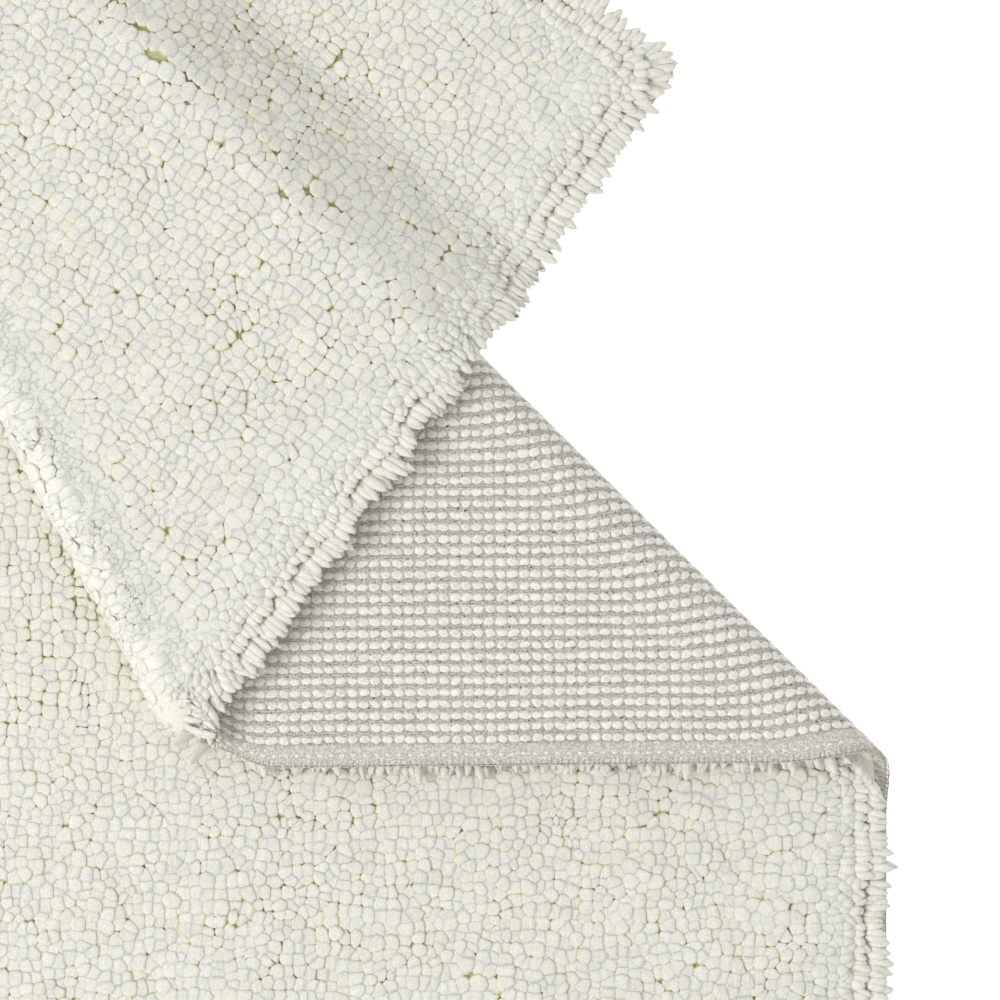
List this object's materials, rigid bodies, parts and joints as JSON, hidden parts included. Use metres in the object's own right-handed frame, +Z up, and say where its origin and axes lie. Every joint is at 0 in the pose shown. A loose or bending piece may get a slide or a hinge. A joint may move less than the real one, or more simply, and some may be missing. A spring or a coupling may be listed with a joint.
{
  "type": "bath mat",
  "caption": "Folded hand-woven bath mat with a deep cut pile, flat-woven hemmed ends and cord-bound sides, lying on a floor.",
  "frame": {"origin": "middle of the folded mat's footprint, on the floor", "axes": "+Z up from the floor, +Y along the base layer from its near side to its far side, +X across it to the right"},
  "size_m": [0.6534, 0.8356, 0.0516],
  "materials": {
    "wool_pile": "matte ivory cut wool",
    "ground_cloth": "matte woven wool and cotton",
    "band_cloth": "matte plain-woven cotton",
    "binding_thread": "twisted cotton thread",
    "side_yarn": "twisted wool yarn"
  },
  "bodies": {
    "root": {"ground_weave": "ground_cloth", "right_end_band": "band_cloth", "left_end_band": "band_cloth", "right_overlock": "binding_thread", "left_overlock": "binding_thread", "right_hem_stitch": "binding_thread", "left_hem_stitch": "binding_thread", "base_pile": "wool_pile", "turned_pile": "wool_pile", "fold_pile": "wool_pile", "top_pile": "wool_pile", "near_side_cord": "binding_thread", "far_side_cord": "binding_thread", "near_side_wrap": "side_yarn", "far_side_wrap": "side_yarn"}
  },
  "joints": []
}
